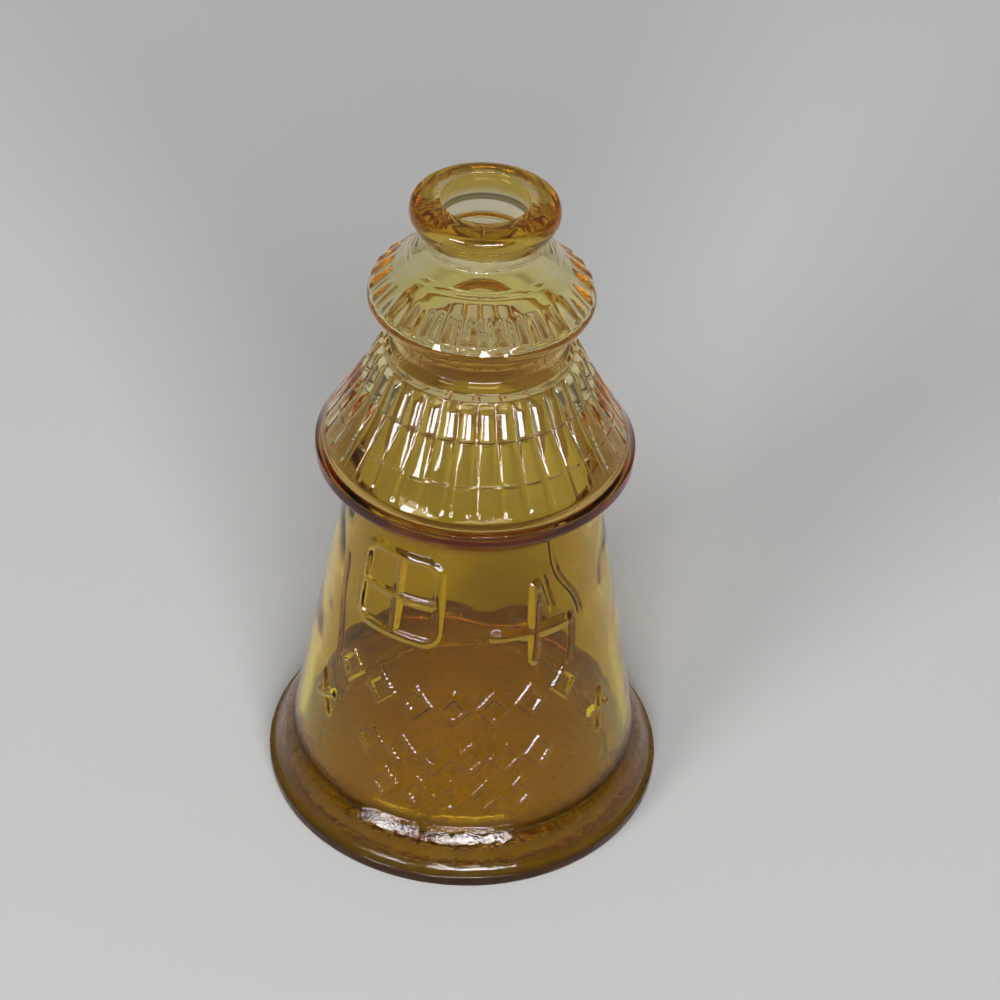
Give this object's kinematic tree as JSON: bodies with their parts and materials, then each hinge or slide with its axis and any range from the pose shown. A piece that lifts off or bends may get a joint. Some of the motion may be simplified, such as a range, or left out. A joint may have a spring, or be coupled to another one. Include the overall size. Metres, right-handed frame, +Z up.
{
  "type": "miniature tower-shaped bitters bottle",
  "caption": "Small amber glass bottle shaped as a round tower house with a tiled roof, a reeded cupola and a doughnut lip, open at the mouth.",
  "frame": {"origin": "centre of the bearing ring under the foot", "axes": "+Z up along the bottle's axis, the window and the tall cross face -Y"},
  "size_m": [0.0448, 0.0448, 0.076],
  "materials": {
    "amber_glass": "clear amber moulded glass, glossy"
  },
  "bodies": {
    "root": {"glass_bottle": "amber_glass"}
  },
  "joints": []
}
